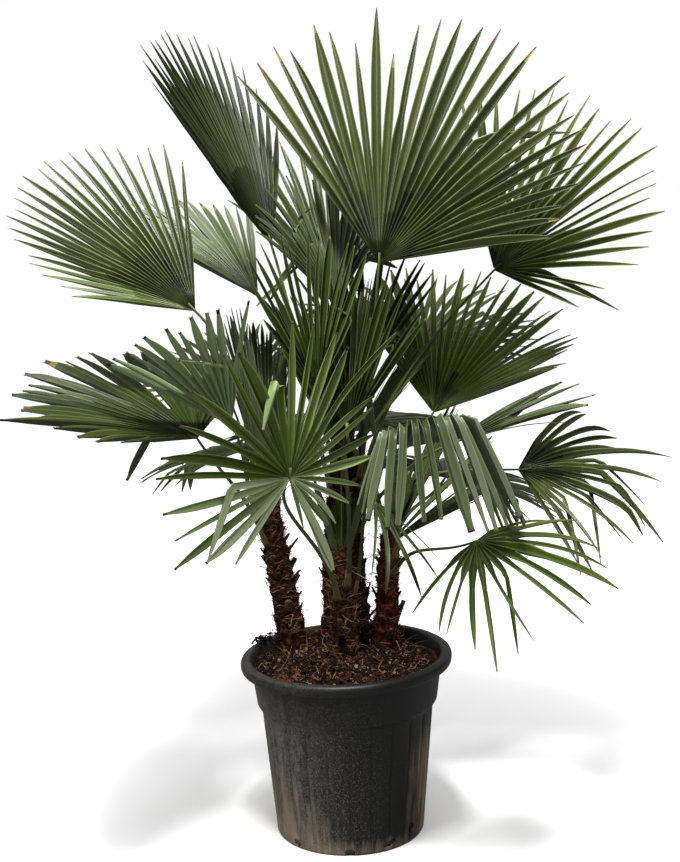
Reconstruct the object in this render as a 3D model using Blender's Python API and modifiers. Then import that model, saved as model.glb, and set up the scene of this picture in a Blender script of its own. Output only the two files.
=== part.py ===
"""A windmill palm with four stems in a round black nursery pot.

Units are metres and +Z is up. The origin is the centre of the pot's flat underside.
+X is the plant's right and -Y its front. Each fan leaf is a stalk and a thin, split blade.
"""

from collections import namedtuple
from math import atan2, ceil, cos, pi, radians, sin, tan

import bmesh
import bpy
from mathutils import Vector

# The pot, whose rim sets the scale of the whole plant.
RIM_RADIUS = 0.250
RIM_TOP = 0.430
RIM_LIP = 0.404
COLLAR_RADIUS = 0.213
COLLAR_FLARE = 0.012
COLLAR_FOOT = 0.317
BODY_STEP = 0.009
FOOT_RADIUS = 0.176
FOOT_CHAMFER = 0.004
POT_WALL = 0.004
POT_FLOOR = 0.006
POT_SIDES = 32

# The soft rim stands this much higher at +X than level, and as much lower at -X.
RIM_DIP = radians(1.5)
DIP_POWER = 2.3

# The potting bark fills the pot to a little under its rim, clear of the wall by this much.
SOIL_TOP = 0.402
SOIL_CLEARANCE = 0.003

# Pieces that touch keep this much clear of each other.
GAP = 0.0003

# The blades: where the stalk ends, where the free fingers begin, and how they bend.
BLADE_THICKNESS = 0.004
HUB_RADIUS = 0.024
HUB_CLEARANCE = 0.0007
MIDDLE_REACH = 0.34
SPLIT_REACH = 0.60
BEND_POWER = 1.6
CREASE_KEEP = 0.45
PATH_STEPS = 20
FINGER_ANGLE = 17.0

# The stalks have a short straight foot, which leaves the stem steeper than the line to the hub by
# STALK_STEEPER, up to STALK_STEEPEST. They arrive along the middle of the blade. Where the blade
# opens past a right angle they come up from under it, tilted by WRAP_TILT.
STALK_BASE_RADIUS = 0.0085
STALK_TIP_RADIUS = 0.0040
STALK_FOOT = 0.020
STALK_STEPS = 3
STALK_STEEPER = radians(22)
STALK_STEEPEST = radians(76)
WRAP_TILT = radians(40)
START_PULL = 0.36
END_PULL = 0.30

# A stem: its number of sides, and the points of its axis (x, y, z) with the radius there. The
# first point is the flat cut at the soil, where the root flare is.
Stem = namedtuple("Stem", "name sides axis")
STEMS = (
    Stem("trunk_main", 14, ((0.000, 0.155, SOIL_TOP + GAP, 0.062), (0.001, 0.153, 0.440, 0.060),
                            (0.001, 0.150, 0.560, 0.054), (0.004, 0.148, 0.700, 0.044),
                            (0.008, 0.146, 0.870, 0.036))),
    Stem("trunk_left", 10, ((-0.128, 0.122, SOIL_TOP + GAP, 0.038), (-0.134, 0.122, 0.450, 0.036),
                            (-0.152, 0.120, 0.580, 0.032), (-0.168, 0.112, 0.690, 0.027),
                            (-0.178, 0.105, 0.790, 0.022))),
    Stem("trunk_front", 8, ((-0.004, 0.040, SOIL_TOP + GAP, 0.034), (-0.005, 0.039, 0.480, 0.031),
                            (-0.004, 0.036, 0.610, 0.024))),
    Stem("trunk_right", 8, ((0.097, 0.105, SOIL_TOP + GAP, 0.032), (0.100, 0.104, 0.470, 0.029),
                            (0.108, 0.100, 0.600, 0.026), (0.114, 0.097, 0.680, 0.022))),
)

# The closed young leaves that stand in the middle of each stem's crown.
Heart = namedtuple("Heart", "name stem height radius lean")
HEARTS = (
    Heart("heart_main", "trunk_main", 0.36, 0.020, (-0.035, 0.010)),
    Heart("heart_left", "trunk_left", 0.24, 0.013, (0.015, 0.010)),
    Heart("heart_front", "trunk_front", 0.16, 0.012, (0.004, 0.000)),
    Heart("heart_right", "trunk_right", 0.17, 0.012, (0.020, 0.010)),
)
HEART_SIDES = 8
HEART_WAIST = 0.30
HEART_FOOT_SHARE = 0.70

# A frond. Base is the height where its stalk leaves the stem, and the hub is where the stalk
# meets the blade. The middle of the blade points along the azimuth (from +X towards +Y) and the
# elevation, and roll turns the blade about that line. The pair values belong to the right half
# and the left half of the blade, seen from above with the hub at the near end: sweep is how far
# the half opens, cup how far it lifts, and short is the share that its last finger lacks. Droop
# is how strongly the fingers bend down, and crease is where along them they fold over, if at all.
# Facet moves the stalk's foot round the stem by that many of its flat sides, towards +Y from +X.
Frond = namedtuple("Frond", "name stem base hub azimuth elevation roll length sweep cup short droop"
                            " crease facet", defaults=(None, 0))
FRONDS = (
    Frond("top_centre", "trunk_main", 0.83, (0.101, 0.050, 1.343), 69, 69, -10, 0.65,
          (84, 40), (21, 19), (0.34, 0.11), 0.05),
    Frond("top_right", "trunk_main", 0.82, (0.374, 0.120, 1.315), -10, 45, -52, 0.47,
          (71, 60), (4, 16), (0.43, 0.00), 0.05),
    Frond("top_left", "trunk_main", 0.81, (-0.147, 0.060, 1.391), 131, 65, -19, 0.54,
          (29, 56), (10, 19), (0.26, 0.01), 0.01),
    Frond("left", "trunk_left", 0.74, (-0.318, -0.050, 1.250), 166, 43, 28, 0.50,
          (44, 55), (18, 14), (0.04, 0.38), 0.05),
    Frond("left_behind", "trunk_left", 0.76, (-0.199, 0.360, 1.256), 160, 35, 5, 0.43,
          (50, 31), (30, 24), (0.12, 0.00), 0.00, facet=-1),
    Frond("left_low", "trunk_left", 0.68, (-0.310, -0.200, 0.984), 186, 21, 14, 0.41,
          (102, 59), (9, 19), (0.07, 0.23), 0.10),
    Frond("left_mid", "trunk_left", 0.72, (-0.244, -0.090, 0.995), 249, 39, -24, 0.395,
          (24, 28), (18, 50), (0.07, 0.00), 0.01, facet=-1),
    Frond("centre_low", "trunk_front", 0.56, (-0.111, -0.250, 0.902), 99, 97, -38, 0.34,
          (162, 146), (-1, -22), (0.59, 0.28), 0.10),
    Frond("right_mid", "trunk_main", 0.77, (0.226, 0.140, 0.977), 47, 42, -25, 0.45,
          (57, 62), (39, 22), (0.29, 0.10), 0.00),
    Frond("right_low", "trunk_right", 0.60, (0.286, -0.270, 0.756), -18, -7, -34, 0.30,
          (122, 53), (-10, -14), (0.30, 0.27), 0.42),
    Frond("right_far", "trunk_main", 0.74, (0.411, 0.000, 0.858), -4, 0, -23, 0.35,
          (69, 62), (-4, 15), (0.10, 0.02), 0.49, facet=1),
    Frond("right_droop", "trunk_right", 0.64, (0.143, -0.250, 0.961), -40, 32, 10, 0.40,
          (84, 66), (14, 4), (0.40, 0.00), 0.10, crease=0.36),
    Frond("right_up", "trunk_main", 0.70, (0.258, -0.020, 0.928), -8, 22, -20, 0.345,
          (14, 20), (30, 30), (0.15, 0.25), 0.05),
    Frond("centre_up", "trunk_main", 0.85, (0.054, 0.200, 1.060), 75, 74, -10, 0.34,
          (38, 38), (25, 25), (0.10, 0.10), 0.02),
    Frond("centre_young", "trunk_front", 0.59, (0.010, -0.030, 0.930), 100, 80, 10, 0.32,
          (30, 30), (20, 20), (0.15, 0.15), 0.02),
    Frond("centre_blue", "trunk_main", 0.82, (0.000, 0.110, 1.240), 130, 72, 0, 0.34,
          (40, 44), (20, 20), (0.15, 0.15), 0.25),
    Frond("centre_dark", "trunk_main", 0.855, (0.017, -0.060, 0.966), 80, 80, 0, 0.36,
          (36, 36), (30, 30), (0.10, 0.10), 0.02, facet=1),
    Frond("centre_tall", "trunk_main", 0.85, (-0.048, -0.100, 1.065), 110, 78, 0, 0.366,
          (30, 30), (30, 30), (0.10, 0.10), 0.02, facet=-1),
    Frond("front_hang", "trunk_front", 0.57, (0.075, -0.070, 0.806), -60, -35, 0, 0.27,
          (26, 26), (0, 0), (0.20, 0.20), 0.60, facet=1),
    Frond("back_up", "trunk_main", 0.84, (-0.010, 0.330, 1.280), 98, 62, 0, 0.44,
          (60, 44), (15, 15), (0.20, 0.20), 0.08),
    Frond("back_right", "trunk_main", 0.79, (0.190, 0.370, 1.080), 58, 34, -12, 0.38,
          (80, 80), (14, 14), (0.20, 0.20), 0.22),
    Frond("back_left", "trunk_left", 0.75, (-0.240, 0.360, 1.010), 120, 28, 14, 0.34,
          (80, 80), (14, 14), (0.20, 0.20), 0.22),
    Frond("back_low", "trunk_main", 0.73, (0.012, 0.450, 0.890), 90, 8, 0, 0.40,
          (112, 112), (6, 6), (0.25, 0.25), 0.45),
    Frond("back_left_low", "trunk_left", 0.64, (-0.260, 0.400, 0.850), 118, 0, 8, 0.32,
          (108, 108), (4, 4), (0.25, 0.25), 0.50),
    Frond("back_right_low", "trunk_right", 0.66, (0.270, 0.380, 0.770), 55, 2, -10, 0.36,
          (108, 108), (4, 4), (0.25, 0.25), 0.50),
)

# Base colour and roughness of each kind of surface.
POT_LOOK = ((0.018, 0.019, 0.021, 1.0), 0.45)
SOIL_LOOK = ((0.060, 0.028, 0.014, 1.0), 0.95)
FIBRE_LOOK = ((0.085, 0.042, 0.022, 1.0), 0.90)
STALK_LOOK = ((0.060, 0.110, 0.022, 1.0), 0.50)
BLADE_LOOK = ((0.050, 0.105, 0.028, 1.0), 0.45)


def clear_scene():
    for obj in list(bpy.data.objects):
        bpy.data.objects.remove(obj)


def material(name, look):
    colour, roughness = look
    made = bpy.data.materials.new(name)
    made.use_nodes = True
    shader = made.node_tree.nodes["Principled BSDF"]
    shader.inputs["Base Color"].default_value = colour
    shader.inputs["Roughness"].default_value = roughness
    return made


def finish(name, bm, look, spot, collection):
    """Makes an object of its own material from the bmesh, standing at the spot."""
    mesh = bpy.data.meshes.new(name)
    bm.to_mesh(mesh)
    bm.free()
    mesh.materials.append(material(name, look))
    obj = bpy.data.objects.new(name, mesh)
    obj.location = spot
    collection.objects.link(obj)
    return obj


def evaluated_bmesh(obj):
    """The finished surface of an object, welded where its caps and its axis meet the sides."""
    bpy.context.scene.collection.objects.link(obj)
    graph = bpy.context.evaluated_depsgraph_get()
    mesh = bpy.data.meshes.new_from_object(obj.evaluated_get(graph))
    bm = bmesh.new()
    bm.from_mesh(mesh)
    bmesh.ops.remove_doubles(bm, verts=bm.verts, dist=0.00001)
    bpy.data.meshes.remove(mesh)
    bpy.data.objects.remove(obj)
    return bm


def turned(name, profile, sides):
    """A body turned about Z from a profile at +X that runs down its outer side."""
    bm = bmesh.new()
    spots = [bm.verts.new((radius, 0.0, height)) for radius, height in profile]
    for upper, lower in zip(spots, spots[1:]):
        bm.edges.new((upper, lower))
    mesh = bpy.data.meshes.new(name + "_profile")
    bm.to_mesh(mesh)
    bm.free()
    outline = bpy.data.objects.new(name + "_profile", mesh)
    screw = outline.modifiers.new("Turn", "SCREW")
    screw.steps = sides
    screw.render_steps = sides
    screw.use_merge_vertices = True
    screw.merge_threshold = 0.0001
    return evaluated_bmesh(outline)


def tube(name, points, radii):
    """A closed round tube through the points, as thick at each as its radius says."""
    curve = bpy.data.curves.new(name + "_path", "CURVE")
    curve.dimensions = "3D"
    curve.bevel_depth = 1.0
    curve.bevel_resolution = 2
    curve.use_fill_caps = True
    spline = curve.splines.new("POLY")
    spline.points.add(len(points) - 1)
    for spot, point, radius in zip(spline.points, points, radii):
        spot.co = (*point, 1.0)
        spot.radius = radius
    return evaluated_bmesh(bpy.data.objects.new(name + "_path", curve))


def smooth(bm, angle):
    """Shades the faces smooth, with an edge kept sharp where two meet at more than the angle."""
    for face in bm.faces:
        face.smooth = True
    for edge in bm.edges:
        if len(edge.link_faces) == 2 and edge.calc_face_angle() > angle:
            edge.smooth = False


def body_radius(height):
    """Outer radius of the pot's tapering body, below the collar."""
    top = COLLAR_RADIUS - BODY_STEP
    return FOOT_RADIUS + (top - FOOT_RADIUS) * height / COLLAR_FOOT


def collar_radius(height):
    """Outer radius of the collar, which flares a little towards the rim."""
    return COLLAR_RADIUS + COLLAR_FLARE * (height - COLLAR_FOOT) / (RIM_LIP - COLLAR_FOOT)


def add_pot(collection):
    inner_top = collar_radius(RIM_LIP) - POT_WALL
    profile = (
        (0.0, POT_FLOOR),
        (body_radius(POT_FLOOR) - POT_WALL, POT_FLOOR),
        (body_radius(COLLAR_FOOT) - POT_WALL, COLLAR_FOOT + POT_WALL),
        (inner_top, RIM_LIP),
        (inner_top + 0.004, RIM_TOP - 0.002),
        (RIM_RADIUS - 0.014, RIM_TOP),
        (RIM_RADIUS - 0.004, RIM_TOP - 0.004),
        (RIM_RADIUS, RIM_TOP - 0.012),
        (RIM_RADIUS - 0.003, RIM_LIP),
        (collar_radius(RIM_LIP), RIM_LIP - 0.003),
        (COLLAR_RADIUS, COLLAR_FOOT),
        (body_radius(COLLAR_FOOT), COLLAR_FOOT - 0.003),
        (body_radius(FOOT_CHAMFER), FOOT_CHAMFER),
        (FOOT_RADIUS - FOOT_CHAMFER, 0.0),
        (0.0, 0.0),
    )
    bm = turned("pot", profile, POT_SIDES)
    for vert in bm.verts:
        vert.co.z += vert.co.x * tan(RIM_DIP) * (vert.co.z / RIM_TOP) ** DIP_POWER
    smooth(bm, radians(35))
    finish("pot", bm, POT_LOOK, (0.0, 0.0, 0.0), collection)


def add_soil(collection):
    foot = POT_FLOOR + GAP
    clear = POT_WALL + SOIL_CLEARANCE
    profile = (
        (0.0, SOIL_TOP - foot),
        (collar_radius(SOIL_TOP) - clear, SOIL_TOP - foot),
        (body_radius(COLLAR_FOOT) - clear, COLLAR_FOOT + POT_WALL - foot),
        (body_radius(foot) - clear, 0.0),
        (0.0, 0.0),
    )
    bm = turned("soil", profile, POT_SIDES)
    smooth(bm, radians(35))
    finish("soil", bm, SOIL_LOOK, (0.0, 0.0, foot), collection)


def stem_at(stem, height):
    """The stem's axis point and radius at a height."""
    spans = list(zip(stem.axis, stem.axis[1:]))
    low, high = next((span for span in spans if height <= span[1][2]), spans[-1])
    share = (height - low[2]) / (high[2] - low[2])
    x, y, _, radius = (a + (b - a) * share for a, b in zip(low, high))
    return Vector((x, y, height)), radius


def add_stem(stem, collection):
    """The stem is turned, then each of its level rings is moved to its place on the axis."""
    foot = Vector(stem.axis[0][:3])
    rings = [(radius, z - foot.z) for _, _, z, radius in reversed(stem.axis)]
    profile = [(0.0, rings[0][1])] + rings + [(0.0, 0.0)]
    bm = turned(stem.name, profile, stem.sides)
    for vert in bm.verts:
        centre, _ = stem_at(stem, foot.z + vert.co.z)
        vert.co.x += centre.x - foot.x
        vert.co.y += centre.y - foot.y
    smooth(bm, radians(50))
    finish(stem.name, bm, FIBRE_LOOK, foot, collection)


def add_heart(heart, stem, collection):
    """A slender closed spindle on top of the stem, leaning off to one side."""
    top = stem.axis[-1][2]
    centre, _ = stem_at(stem, top)
    profile = (
        (0.0, heart.height),
        (heart.radius, heart.height * HEART_WAIST),
        (heart.radius * HEART_FOOT_SHARE, 0.0),
        (0.0, 0.0),
    )
    bm = turned(heart.name, profile, HEART_SIDES)
    for vert in bm.verts:
        share = vert.co.z / heart.height
        vert.co.x += heart.lean[0] * share
        vert.co.y += heart.lean[1] * share
    smooth(bm, radians(50))
    finish(heart.name, bm, BLADE_LOOK, centre + Vector((0.0, 0.0, GAP)), collection)


def blade_axes(frond):
    """Unit vectors along the middle of the blade, towards its right half and off its upper side."""
    azimuth, elevation, roll = radians(frond.azimuth), radians(frond.elevation), radians(frond.roll)
    along = Vector((cos(elevation) * cos(azimuth), cos(elevation) * sin(azimuth), sin(elevation)))
    up = Vector((-sin(elevation) * cos(azimuth), -sin(elevation) * sin(azimuth), cos(elevation)))
    side = along.cross(up)
    return along, side * cos(roll) + up * sin(roll), up * cos(roll) - side * sin(roll)


def finger_path(frond, angle):
    """Points down the middle of the finger at an angle in degrees, in equal steps from the hub."""
    half = 0 if angle >= 0 else 1
    along, side, up = blade_axes(frond)
    turn, lift = radians(angle), radians(frond.cup[half] * abs(angle) / 90)
    start = along * cos(turn) + side * sin(turn) * cos(lift) + up * abs(sin(turn)) * sin(lift)
    length = frond.length * (1 - frond.short[half] * (angle / frond.sweep[half]) ** 2)
    points = [Vector((0.0, 0.0, 0.0))]
    for step in range(PATH_STEPS):
        reach = (step + 0.5) / PATH_STEPS
        heading = start - Vector((0.0, 0.0, frond.droop * reach ** BEND_POWER))
        if frond.crease and reach > frond.crease:
            heading = heading * CREASE_KEEP - Vector((0.0, 0.0, 1.0))
        points.append(points[-1] + heading.normalized() * length / PATH_STEPS)
    return points


def along_path(points, share):
    place = share * (len(points) - 1)
    index = min(int(place), len(points) - 2)
    return points[index].lerp(points[index + 1], place - index)


def add_blade(frond, collection):
    """A grid bent into the fan: even columns run out to a fingertip, odd ones end at the split."""
    right, left = (ceil(sweep / FINGER_ANGLE) for sweep in frond.sweep)
    angles = [-frond.sweep[1] * (1 - index / (2 * left)) for index in range(2 * left)]
    angles += [frond.sweep[0] * index / (2 * right) for index in range(2 * right + 1)]
    paths = [finger_path(frond, angle) for angle in angles]
    rows = (0.0, frond.crease or MIDDLE_REACH, SPLIT_REACH, 1.0)
    bm = bmesh.new()
    bmesh.ops.create_grid(bm, x_segments=len(angles) - 1, y_segments=len(rows) - 1, size=0.5)
    for vert in bm.verts:
        column = round((vert.co.x + 0.5) * (len(angles) - 1))
        row = round((vert.co.y + 0.5) * (len(rows) - 1))
        share = rows[row] if column % 2 == 0 else min(rows[row], SPLIT_REACH)
        vert.co = along_path(paths[column], share) if row else paths[column][1].normalized() * HUB_RADIUS
    bmesh.ops.remove_doubles(bm, verts=bm.verts, dist=0.00001)
    obj = finish("blade_" + frond.name, bm, BLADE_LOOK, frond.hub, collection)
    sheet = obj.modifiers.new("Thickness", "SOLIDIFY")
    sheet.thickness = BLADE_THICKNESS
    sheet.offset = 0.0


def stalk_seat(frond, stem):
    """Where the stalk stands on one of the stem's flat sides, and the direction it leaves in."""
    height = frond.base
    centre, _ = stem_at(stem, height)
    turn = 2 * pi / stem.sides
    to_hub = Vector(frond.hub) - centre
    facing = (round(atan2(to_hub.y, to_hub.x) / turn - 0.5) + 0.5 + frond.facet) * turn
    outward = Vector((cos(facing), sin(facing), 0.0))
    rise = atan2(to_hub.z, to_hub.xy.length)
    rise = min(rise + STALK_STEEPER, STALK_STEEPEST)
    edge, radius = stem_at(stem, height + STALK_BASE_RADIUS * cos(rise))
    reach = (edge - centre).dot(outward) + radius * cos(pi / stem.sides)
    reach += STALK_BASE_RADIUS * sin(rise) + GAP
    return centre + outward * reach, outward * cos(rise) + Vector((0.0, 0.0, sin(rise)))


def add_stalk(frond, stem, collection):
    """A bent, tapering tube from the stem to the inner edge of the blade."""
    hub = Vector(frond.hub)
    seat, leaving = stalk_seat(frond, stem)
    along, _, up = blade_axes(frond)
    tilt = WRAP_TILT if max(frond.sweep) > 90 else 0.0
    arriving = along * cos(tilt) + up * sin(tilt)
    start = seat + leaving * STALK_FOOT
    span = (hub - start).length
    first, second = start + leaving * span * START_PULL, hub - arriving * span * END_PULL
    points, radii = [seat], [STALK_BASE_RADIUS]
    for step in range(STALK_STEPS + 1):
        t = step / STALK_STEPS
        u = 1 - t
        points.append(start * u ** 3 + first * 3 * u * u * t + second * 3 * u * t * t + hub * t ** 3)
        radii.append(STALK_BASE_RADIUS + (STALK_TIP_RADIUS - STALK_BASE_RADIUS) * t)
    points.append(hub + along * (HUB_RADIUS - HUB_CLEARANCE))
    radii.append(STALK_TIP_RADIUS)
    bm = tube("stalk_" + frond.name, [point - seat for point in points], radii)
    smooth(bm, radians(60))
    finish("stalk_" + frond.name, bm, STALK_LOOK, seat, collection)


def main():
    clear_scene()
    collection = bpy.data.collections.new("windmill_palm")
    bpy.context.scene.collection.children.link(collection)
    stems = {stem.name: stem for stem in STEMS}
    add_pot(collection)
    add_soil(collection)
    for stem in STEMS:
        add_stem(stem, collection)
    for heart in HEARTS:
        add_heart(heart, stems[heart.stem], collection)
    for frond in FRONDS:
        add_stalk(frond, stems[frond.stem], collection)
        add_blade(frond, collection)


main()
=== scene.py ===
"""Visible surfaces of a windmill palm with four stems in a round black nursery pot.

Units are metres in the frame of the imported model: +Z is up, -Y is the front, and the origin is
the centre of the pot's flat underside. Leaves and stalks follow the paths of the solid ones.
"""

from collections import namedtuple

import bpy
import numpy as np
from mathutils import Matrix


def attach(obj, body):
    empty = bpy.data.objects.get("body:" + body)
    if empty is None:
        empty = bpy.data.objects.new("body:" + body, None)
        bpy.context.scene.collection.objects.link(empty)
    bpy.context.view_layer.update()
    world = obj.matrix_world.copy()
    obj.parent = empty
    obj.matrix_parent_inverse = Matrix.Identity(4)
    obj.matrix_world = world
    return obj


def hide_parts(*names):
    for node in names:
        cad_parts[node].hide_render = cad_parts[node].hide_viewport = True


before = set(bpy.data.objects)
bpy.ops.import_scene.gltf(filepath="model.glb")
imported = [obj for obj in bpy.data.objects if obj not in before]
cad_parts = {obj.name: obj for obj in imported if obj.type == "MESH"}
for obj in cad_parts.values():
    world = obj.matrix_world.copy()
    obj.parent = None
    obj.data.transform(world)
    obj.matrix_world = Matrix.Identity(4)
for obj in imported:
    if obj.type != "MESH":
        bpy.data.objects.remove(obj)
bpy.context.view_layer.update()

BODY = "root"
DOWN = np.array((0.0, 0.0, -1.0))

# The pot and its soil, as the solid ones are.
RIM_RADIUS = 0.25
RIM_TOP = 0.43
RIM_LIP = 0.404
COLLAR_RADIUS = 0.213
COLLAR_FLARE = 0.012
COLLAR_FOOT = 0.317
BODY_STEP = 0.009
FOOT_RADIUS = 0.176
POT_WALL = 0.004
POT_FLOOR = 0.006
RIM_DIP = np.radians(1.5)
DIP_POWER = 2.3
SOIL_TOP = 0.402
SOIL_CLEARANCE = 0.001

# The paths of the leaves and stalks, as the solid ones are.
BEND_POWER = 1.6
CREASE_KEEP = 0.45
STALK_BASE_RADIUS = 0.0085
STALK_TIP_RADIUS = 0.004
STALK_FOOT = 0.02
STALK_STEEPER = np.radians(22)
STALK_STEEPEST = np.radians(76)
WRAP_TILT = np.radians(40)
START_PULL = 0.36
END_PULL = 0.3

# A stem: the number of sides of the solid one, and the points of its axis (x, y, z, radius).
Stem = namedtuple("Stem", "name sides axis")
STEMS = (
    Stem("trunk_main", 14, ((0.0, 0.155, SOIL_TOP, 0.062), (0.001, 0.153, 0.44, 0.06),
                            (0.001, 0.15, 0.56, 0.054), (0.004, 0.148, 0.7, 0.044),
                            (0.008, 0.146, 0.87, 0.036))),
    Stem("trunk_left", 10, ((-0.128, 0.122, SOIL_TOP, 0.038), (-0.134, 0.122, 0.45, 0.036),
                            (-0.152, 0.12, 0.58, 0.032), (-0.168, 0.112, 0.69, 0.027),
                            (-0.178, 0.105, 0.79, 0.022))),
    Stem("trunk_front", 8, ((-0.004, 0.04, SOIL_TOP, 0.034), (-0.005, 0.039, 0.48, 0.031),
                            (-0.004, 0.036, 0.61, 0.024))),
    Stem("trunk_right", 8, ((0.097, 0.105, SOIL_TOP, 0.032), (0.1, 0.104, 0.47, 0.029),
                            (0.108, 0.1, 0.6, 0.026), (0.114, 0.097, 0.68, 0.022))),
)
STEM_NAMED = {stem.name: stem for stem in STEMS}

# A frond: its stem, the height where its stalk leaves it, and the hub where stalk and blade meet.
# The blade points along azimuth and elevation, turned by roll. Pairs are its right and left half:
# how far it opens, how far it lifts, and the share its last segment lacks. Droop bends segments
# down, past crease they fold over, and facet moves the stalk's foot round the stem.
Frond = namedtuple("Frond", "name stem base hub azimuth elevation roll length sweep cup short droop"
                            " crease facet", defaults=(None, 0))
FRONDS = (
    Frond("top_centre", "trunk_main", 0.83, (0.101, 0.05, 1.343), 69, 69, -10, 0.65,
          (84, 40), (21, 19), (0.34, 0.11), 0.05),
    Frond("top_right", "trunk_main", 0.82, (0.374, 0.12, 1.315), -10, 45, -52, 0.47,
          (71, 60), (4, 16), (0.43, 0.0), 0.05),
    Frond("top_left", "trunk_main", 0.81, (-0.147, 0.06, 1.391), 131, 65, -19, 0.54,
          (29, 56), (10, 19), (0.26, 0.01), 0.01),
    Frond("left", "trunk_left", 0.74, (-0.318, -0.05, 1.25), 166, 43, 28, 0.5,
          (44, 55), (18, 14), (0.04, 0.38), 0.05),
    Frond("left_behind", "trunk_left", 0.76, (-0.199, 0.36, 1.256), 160, 35, 5, 0.43,
          (50, 31), (30, 24), (0.12, 0.0), 0.0, facet=-1),
    Frond("left_low", "trunk_left", 0.68, (-0.31, -0.2, 0.984), 186, 21, 14, 0.41,
          (102, 59), (9, 19), (0.07, 0.23), 0.1),
    Frond("left_mid", "trunk_left", 0.72, (-0.244, -0.09, 0.995), 249, 39, -24, 0.395,
          (24, 28), (18, 50), (0.07, 0.0), 0.01, facet=-1),
    Frond("centre_low", "trunk_front", 0.56, (-0.111, -0.25, 0.902), 99, 97, -38, 0.34,
          (162, 146), (-1, -22), (0.59, 0.28), 0.1),
    Frond("right_mid", "trunk_main", 0.77, (0.226, 0.14, 0.977), 47, 42, -25, 0.45,
          (57, 62), (39, 22), (0.29, 0.1), 0.0),
    Frond("right_low", "trunk_right", 0.6, (0.286, -0.27, 0.756), -18, -7, -34, 0.3,
          (122, 53), (-10, -14), (0.3, 0.27), 0.42),
    Frond("right_far", "trunk_main", 0.74, (0.411, 0.0, 0.858), -4, 0, -23, 0.35,
          (69, 62), (-4, 15), (0.1, 0.02), 0.49, facet=1),
    Frond("right_droop", "trunk_right", 0.64, (0.143, -0.25, 0.961), -40, 32, 10, 0.4,
          (84, 66), (14, 4), (0.4, 0.0), 0.1, crease=0.36),
    Frond("right_up", "trunk_main", 0.7, (0.258, -0.02, 0.928), -8, 22, -20, 0.345,
          (14, 20), (30, 30), (0.15, 0.25), 0.05),
    Frond("centre_up", "trunk_main", 0.85, (0.054, 0.2, 1.06), 75, 74, -10, 0.34,
          (38, 38), (25, 25), (0.1, 0.1), 0.02),
    Frond("centre_young", "trunk_front", 0.59, (0.01, -0.03, 0.93), 100, 80, 10, 0.32,
          (30, 30), (20, 20), (0.15, 0.15), 0.02),
    Frond("centre_blue", "trunk_main", 0.82, (0.0, 0.11, 1.24), 130, 72, 0, 0.34,
          (40, 44), (20, 20), (0.15, 0.15), 0.25),
    Frond("centre_dark", "trunk_main", 0.855, (0.017, -0.06, 0.966), 80, 80, 0, 0.36,
          (36, 36), (30, 30), (0.1, 0.1), 0.02, facet=1),
    Frond("centre_tall", "trunk_main", 0.85, (-0.048, -0.1, 1.065), 110, 78, 0, 0.366,
          (30, 30), (30, 30), (0.1, 0.1), 0.02, facet=-1),
    Frond("front_hang", "trunk_front", 0.57, (0.075, -0.07, 0.806), -60, -35, 0, 0.27,
          (26, 26), (0, 0), (0.2, 0.2), 0.6, facet=1),
    Frond("back_up", "trunk_main", 0.84, (-0.01, 0.33, 1.28), 98, 62, 0, 0.44,
          (60, 44), (15, 15), (0.2, 0.2), 0.08),
    Frond("back_right", "trunk_main", 0.79, (0.19, 0.37, 1.08), 58, 34, -12, 0.38,
          (80, 80), (14, 14), (0.2, 0.2), 0.22),
    Frond("back_left", "trunk_left", 0.75, (-0.24, 0.36, 1.01), 120, 28, 14, 0.34,
          (80, 80), (14, 14), (0.2, 0.2), 0.22),
    Frond("back_low", "trunk_main", 0.73, (0.012, 0.45, 0.89), 90, 8, 0, 0.4,
          (112, 112), (6, 6), (0.25, 0.25), 0.45),
    Frond("back_left_low", "trunk_left", 0.64, (-0.26, 0.4, 0.85), 118, 0, 8, 0.32,
          (108, 108), (4, 4), (0.25, 0.25), 0.5),
    Frond("back_right_low", "trunk_right", 0.66, (0.27, 0.38, 0.77), 55, 2, -10, 0.36,
          (108, 108), (4, 4), (0.25, 0.25), 0.5),
)

# Upper-side greens. A frond's segments are dealt the shades of its palette.
OLIVE = ((0.062, 0.078, 0.012), (0.048, 0.064, 0.008), (0.08, 0.094, 0.022), (0.036, 0.05, 0.006))
DEEP = ((0.036, 0.056, 0.008), (0.046, 0.068, 0.011), (0.026, 0.042, 0.005), (0.056, 0.078, 0.018))
BRIGHT = ((0.066, 0.108, 0.008), (0.086, 0.13, 0.012), (0.05, 0.084, 0.006), (0.106, 0.146, 0.026))
BLUISH = ((0.062, 0.096, 0.04), (0.08, 0.116, 0.054), (0.046, 0.074, 0.026), (0.11, 0.142, 0.082))
PALE = ((0.12, 0.152, 0.07), (0.094, 0.126, 0.05), (0.15, 0.18, 0.105), (0.07, 0.1, 0.032))
# Pale silvery greens for segments that catch the light: a painted highlight.
LIT_SILVER = ((0.28, 0.35, 0.15), (0.21, 0.28, 0.09), (0.4, 0.46, 0.27), (0.15, 0.21, 0.06))

# The waxy bloom of an underside, a pale green painted along the margins as a highlight where the
# ridges catch the light, and the share of each that shows. A fold's valley is that bright beside
# the rest: on the upper side a painted shade in the crease, on the underside the paler midrib.
# The upper side is smoother than the underside.
BLOOM = np.array((0.16, 0.205, 0.1))
LIT_EDGE = np.array((0.24, 0.29, 0.12))
UNDER_BLOOM = 0.5
UPPER_LIT_EDGE = 0.35
UNDER_LIT_EDGE = 0.3
UPPER_VALLEY_SHADE = 0.35
UNDER_VALLEY = 1.25
UPPER_ROUGHNESS = 0.36
UNDER_ROUGHNESS = 0.55

# Withered tips turn yellow, then brown, then black, each over about this share of the segment.
TIP_SHADES = ((0.16, 0.14, 0.025), (0.08, 0.04, 0.016), (0.018, 0.011, 0.008))
TIP_REACH = (0.022, 0.018, 0.014)
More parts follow.
